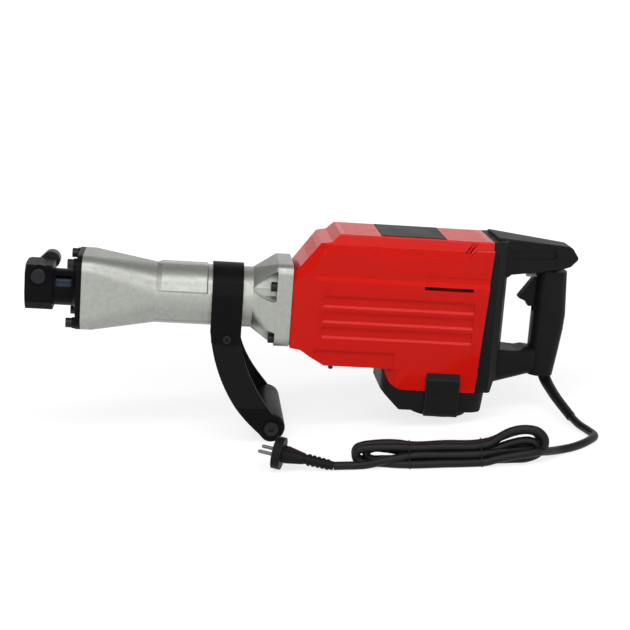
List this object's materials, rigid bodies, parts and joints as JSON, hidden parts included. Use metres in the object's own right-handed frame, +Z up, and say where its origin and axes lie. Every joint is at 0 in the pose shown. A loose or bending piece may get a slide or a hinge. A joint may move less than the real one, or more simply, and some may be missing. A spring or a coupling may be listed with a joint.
{
  "type": "electric demolition hammer",
  "caption": "Electric demolition hammer with a hex tool socket, silver barrel, red motor cover, rear D-handle with trigger, swivelling side handle and a tied mains lead.",
  "frame": {"origin": "on the floor under the middle of the machine's box, the mains lead left out; the machine lies on its side handle's grip and the rear rim of its motor end cap, nose up by 7 degrees", "axes": "+X from the nose to the rear handle, +Z up, so the side with the brush cover that faces -Y is seen from the front"},
  "size_m": [0.7458, 0.3369, 0.2682],
  "materials": {
    "cast_black": "black painted steel, satin",
    "cast_grey": "fine cast aluminium, satin silver",
    "bolt_black": "black oxide fasteners",
    "lever_grey": "dark phosphated steel",
    "steel_bright": "ground steel",
    "steel_dark": "hardened steel",
    "bearing_steel": "polished bearing steel",
    "iron_core": "laminated core iron",
    "copper": "copper",
    "brass": "brass",
    "red_cover": "glossy red moulded cover",
    "black_plastic": "black moulded plastic",
    "inner_plastic": "dark moulded plastic",
    "soft_black": "black rubber",
    "pale_tip": "pale plastic",
    "plate": "plain dark plate",
    "seal": "seal rubber"
  },
  "bodies": {
    "machine": {"front_cover": "cast_black", "front_cover_bolts": "bolt_black", "tool_sleeve": "steel_bright", "impact_bolt_guide": "steel_dark", "cylinder_case": "cast_grey", "cylinder_case_bolts": "bolt_black", "cylinder_liner": "steel_bright", "crank_bearings": "bearing_steel", "countershaft_bearings": "bearing_steel", "motor_bearings": "bearing_steel", "stator_core": "iron_core", "field_coils": "copper", "motor_tube": "inner_plastic", "carbon_brushes": "inner_plastic", "brush_holders": "brass", "crank_housing": "cast_grey", "gear_plate": "cast_grey", "gear_cover": "cast_grey", "body_cover": "red_cover", "roof_cover": "red_cover", "name_plate": "plate", "drain_plug": "soft_black", "brush_covers": "black_plastic", "motor_end_housing": "black_plastic", "motor_end_cap": "black_plastic", "end_cap_screws": "bolt_black", "handle_shell_near": "black_plastic", "handle_shell_far": "black_plastic", "handle_screws": "steel_dark", "switch_body": "inner_plastic", "strain_relief": "soft_black", "cord_lead": "soft_black", "cord_hank": "soft_black", "cord_tail": "soft_black", "plug_body": "soft_black", "plug_pins": "bearing_steel"},
    "retainer": {"tool_retainer": "lever_grey"},
    "impact_bolt": {"impact_bolt": "steel_dark"},
    "striker": {"striker": "steel_dark", "striker_ring": "seal"},
    "piston": {"piston": "steel_bright", "piston_ring": "seal", "wrist_pin": "bearing_steel"},
    "rod": {"connecting_rod": "steel_dark", "big_end_bearing": "bearing_steel"},
    "crank": {"crankshaft": "steel_dark", "crank_gear": "steel_dark"},
    "countershaft": {"countershaft": "steel_dark", "fast_gear": "steel_dark"},
    "armature": {"armature_shaft": "steel_bright", "armature_core": "iron_core", "commutator": "copper", "cooling_fan": "inner_plastic"},
    "trigger": {"trigger": "black_plastic"},
    "trigger_lock": {"trigger_lock": "pale_tip"},
    "side_handle": {"side_handle_strap": "cast_black", "side_handle_saddle": "cast_black", "side_handle_clamp_bolt": "steel_dark", "side_handle_grip": "soft_black", "side_handle_grip_bolt": "bolt_black"}
  },
  "joints": [
    {"name": "retainer_turn", "type": "hinge", "parent": "machine", "child": "retainer", "pos_m": [-0.34794, 0, 0.23654], "axis": [0, 1, 0], "range_deg": [0, 180]},
    {"name": "impact_bolt_slide", "type": "slide", "parent": "machine", "child": "impact_bolt", "axis": [0.9925, 0, -0.1223], "range_m": [-0.0045, 0.004]},
    {"name": "striker_slide", "type": "slide", "parent": "machine", "child": "striker", "axis": [0.9925, 0, -0.1223], "range_m": [-0.022, 0.03]},
    {"name": "piston_slide", "type": "slide", "parent": "machine", "child": "piston", "axis": [0.9925, 0, -0.1223], "range_m": [0, 0.04]},
    {"name": "rod_swing", "type": "hinge", "parent": "piston", "child": "rod", "pos_m": [-0.06269, 0, 0.18023], "axis": [0.1223, 0, 0.9925], "range_deg": [-9, 9]},
    {"name": "armature_spin", "type": "hinge", "parent": "machine", "child": "armature", "pos_m": [0.18246, 0, 0.15003], "axis": [0.1223, 0, 0.9925], "continuous": true},
    {"name": "countershaft_spin", "type": "hinge", "parent": "machine", "child": "countershaft", "pos_m": [0.13929, 0, 0.15535], "axis": [0.1223, 0, 0.9925], "continuous": true},
    {"name": "crank_spin", "type": "hinge", "parent": "machine", "child": "crank", "pos_m": [0.08122, 0, 0.1625], "axis": [0.1223, 0, 0.9925], "continuous": true},
    {"name": "trigger_pull", "type": "hinge", "parent": "machine", "child": "trigger", "pos_m": [0.3248, 0, 0.17682], "axis": [0, -1, 0], "range_deg": [0, 8], "stiffness_Nm_per_rad": 0.6, "springref_deg": -20.05},
    {"name": "trigger_lock_press", "type": "slide", "parent": "machine", "child": "trigger_lock", "axis": [0.9925, 0, -0.1223], "range_m": [0, 0.003], "stiffness_N_per_m": 800, "springref_m": -0.002},
    {"name": "side_handle_swivel", "type": "hinge", "parent": "machine", "child": "side_handle", "pos_m": [-0.10437, 0, 0.18537], "axis": [0.9925, 0, -0.1223], "continuous": true}
  ],
  "couplings": [
    {"joint": "countershaft_spin", "follows": "armature_spin", "ratio": -0.23404},
    {"joint": "crank_spin", "follows": "armature_spin", "ratio": 0.070213}
  ]
}
